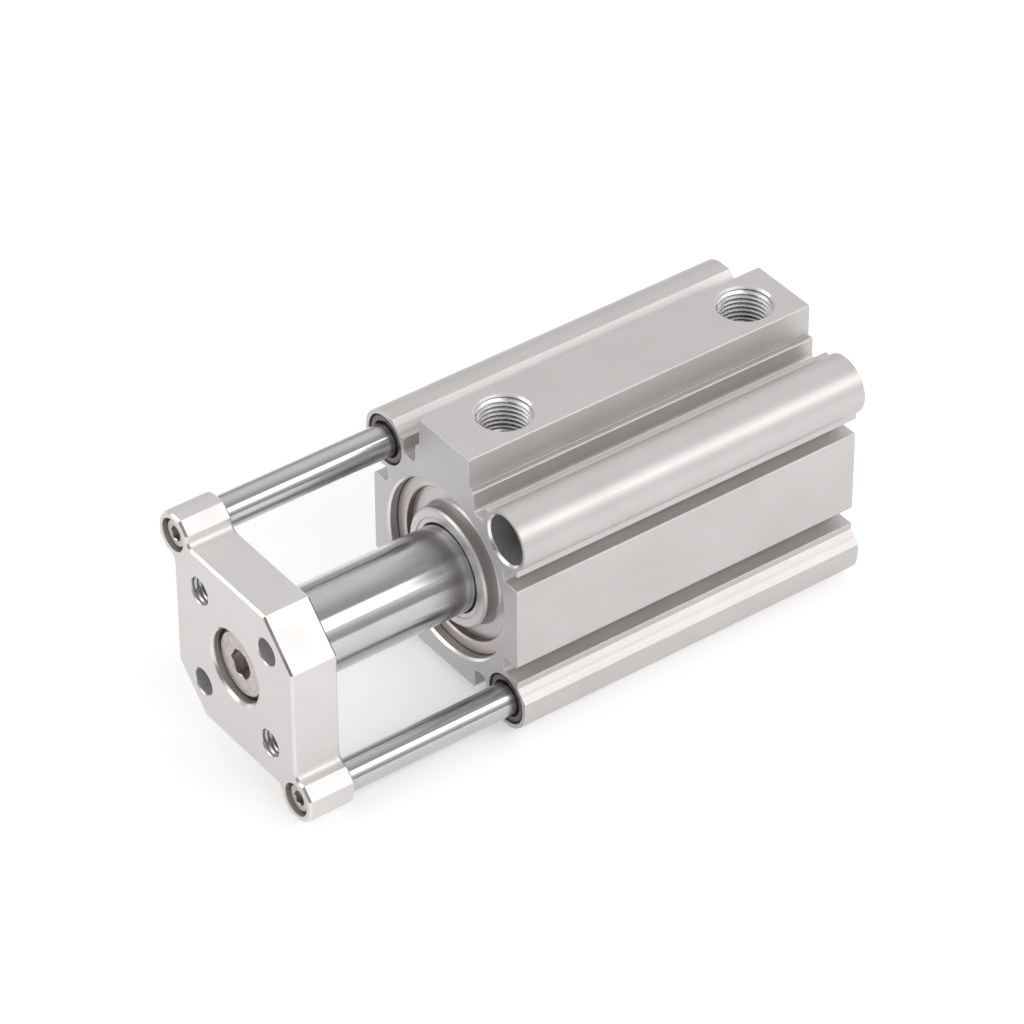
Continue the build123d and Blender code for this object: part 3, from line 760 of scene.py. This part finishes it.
def anodised_plate():
    """Fine blasted and anodised plate."""
    material, tree, shader = new_finish("anodised_plate")
    clouds = noise(tree, plate_cloud_scale, detail=3)
    faces = facing_along_x(tree)
    sides = blended(tree, between(tree, clouds, 0, 1), plate_colour, plate_shade)
    # painted shade darkens the flat faces that look along the axis
    blasted = blended(tree, faces, sides, plate_face_shade)
    holes = inside(tree, radius_from_axis(tree, plate_hole_offset), plate_hole_reach)
    counterbores = either(
        tree,
        inside(tree, radius_from_axis(tree), plate_counterbore_reach),
        inside(tree, radius_from_axis(tree, corner_offset), guide_counterbore_reach),
    )
    drilled = blended(tree, holes, blasted, plate_bore_colour)
    colour = blended(tree, counterbores, drilled, counterbore_colour)
    tree.links.new(colour, shader.inputs["Base Color"])
    bare = between(tree, holes, 1, plate_bore_metallic, 0, 1)
    tree.links.new(bare, shader.inputs["Metallic"])
    lobes = inside(tree, radius_from_axis(tree, corner_offset), plate_lobe_radius)
    milled = facing_along_x(tree, *milled_slope)
    satin = shifted(tree, between(tree, clouds, *plate_roughness), milled, -plate_side_matt)
    sides_matt = shifted(tree, satin, lobes, plate_side_matt / 2)
    edges_bright = shifted(tree, sides_matt, end_chamfers(tree), -plate_chamfer_gloss)
    tree.links.new(edges_bright, shader.inputs["Roughness"])
    bead = noise(tree, plate_bead_scale)
    rounded = broken_edges(tree, plate_edge_round)
    tree.links.new(relief(tree, bead, plate_bead_depth, rounded), shader.inputs["Normal"])
    return material


paint(anodised_plate(), "end_plate")


# Plate threads
# Two of the plate's four holes are tapped M5 right through, for the load that it carries. Their
# threads are cut as those of the ports are.
plate_pitch = 0.8 * mm
plate_thread_height = 0.3 * mm
# painted shade, even all down the plate's holes
plate_depth_shade = (0.45, 0.45)
plate_hole_chamfer = 0.2 * mm

plate_low, plate_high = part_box("end_plate")
plate_hole_radius = mounts["plate_holes"]["dims"]["hole_r_mm"] * mm
for name, side in (("upper", 1), ("lower", -1)):
    thread = helical_thread(
        f"plate_thread_{name}",
        (0, -side * plate_hole_offset, side * plate_hole_offset),
        plate_hole_radius,
        plate_low.x + plate_hole_chamfer,
        plate_high.x - plate_hole_chamfer,
        plate_pitch,
        plate_thread_height,
        plate_depth_shade,
        "X",
    )
    thread.data.materials.append(tapped)
    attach(thread, "rod_and_plate")


# Screws
# Steel socket screws, nickel plated to a warm satin. The large one holds the plate to the piston
# rod, the small ones hold it to the guide rods, and one inside holds the piston.
screw_colour = (0.56, 0.515, 0.49)
screw_shade = (0.47, 0.425, 0.395)
screw_roughness = (0.26, 0.38)
screw_edge_round = 0.15 * mm
patch_scale = 900
patch_spread = (0.42, 0.66)
plating_grain_scale = 5000
plating_grain_depth = 0.008 * mm


def nickel_plate():
    """Warm satin nickel."""
    material, tree, shader = new_finish("nickel_plated_steel")
    patches = noise(tree, patch_scale, detail=4)
    colour = blended(tree, between(tree, patches, 0, 1, *patch_spread), screw_colour, screw_shade)
    tree.links.new(colour, shader.inputs["Base Color"])
    tree.links.new(between(tree, patches, *screw_roughness), shader.inputs["Roughness"])
    grain = noise(tree, plating_grain_scale)
    rounded = broken_edges(tree, screw_edge_round)
    tree.links.new(relief(tree, grain, plating_grain_depth, rounded), shader.inputs["Normal"])
    return material


paint(nickel_plate(), "plate_screw", "guide_screw_upper", "guide_screw_lower", "piston_screw")


# Guide bushes and rod bush
# Sintered bronze, dark with the oil that it holds. Two are pressed into the mouths of the tube's
# guide lobes, and the third stands in the rod cover.
bronze_colour = (0.165, 0.143, 0.134)
bronze_pore = (0.1, 0.086, 0.08)
bush_rim_shade = (0.04, 0.035, 0.033)
bush_face_radius = 4.25 * mm  # the rim outside this is painted black, as shade
bronze_roughness = 0.35
pore_scale = 3000
pore_spread = (0.5, 0.7)
pore_depth = 0.02 * mm


def oiled_bronze():
    """Porous oiled bronze."""
    material, tree, shader = new_finish("oiled_bronze")
    pores = noise(tree, pore_scale, detail=3)
    porous = blended(tree, between(tree, pores, 0, 1, *pore_spread), bronze_colour, bronze_pore)
    face = inside(tree, radius_from_axis(tree, corner_offset), bush_face_radius)
    # the rim round each bush's face carries painted shade
    tree.links.new(blended(tree, face, bush_rim_shade, porous), shader.inputs["Base Color"])
    shader.inputs["Roughness"].default_value = bronze_roughness
    tree.links.new(relief(tree, pores, pore_depth), shader.inputs["Normal"])
    return material


paint(oiled_bronze(), "guide_bushing_upper", "guide_bushing_lower", "rod_bushing")


# Seals, wipers and end stops
# Moulded nitrile rubber, matt black with a faint grey bloom. The seals and wipers sit in grooves,
# and the two end stops stand on the covers.
rubber_colour = (0.038, 0.035, 0.034)
rubber_bloom = (0.085, 0.075, 0.07)
rubber_roughness = (0.5, 0.65)
bloom_scale = 300
bloom_spread = (0.45, 0.8)
rubber_grain_scale = 4000
rubber_grain_depth = 0.015 * mm


def nitrile_rubber():
    """Matt black rubber with a faint grey bloom."""
    material, tree, shader = new_finish("nitrile_rubber", metallic=0)
    bloom = noise(tree, bloom_scale, detail=4)
    colour = blended(tree, between(tree, bloom, 0, 1, *bloom_spread), rubber_colour, rubber_bloom)
    tree.links.new(colour, shader.inputs["Base Color"])
    tree.links.new(between(tree, bloom, *rubber_roughness), shader.inputs["Roughness"])
    grain = noise(tree, rubber_grain_scale)
    tree.links.new(relief(tree, grain, rubber_grain_depth), shader.inputs["Normal"])
    return material


paint(
    nitrile_rubber(),
    "rod_cover_gasket",
    "head_cover_gasket",
    "rod_seal",
    "rod_side_bumper",
    "head_side_bumper",
    "guide_wiper_upper",
    "guide_wiper_lower",
    "piston_seal",
)


# Sensor magnet
# A dull dark grey ring round the piston, of ferrite powder bonded in rubber. A sensor in one of
# the tube's grooves feels it through the wall.
magnet_colour = (0.075, 0.075, 0.08)
magnet_grain = (0.13, 0.125, 0.125)
magnet_roughness = 0.6
powder_scale = 2500
powder_spread = (0.5, 0.7)
powder_depth = 0.02 * mm


def bonded_magnet():
    """Dull bonded ferrite with fine sparkle."""
    material, tree, shader = new_finish("bonded_magnet", metallic=0)
    powder = noise(tree, powder_scale)
    colour = blended(tree, between(tree, powder, 0, 1, *powder_spread), magnet_colour, magnet_grain)
    tree.links.new(colour, shader.inputs["Base Color"])
    shader.inputs["Roughness"].default_value = magnet_roughness
    tree.links.new(relief(tree, powder, powder_depth), shader.inputs["Normal"])
    return material


paint(bonded_magnet(), "piston_magnet")
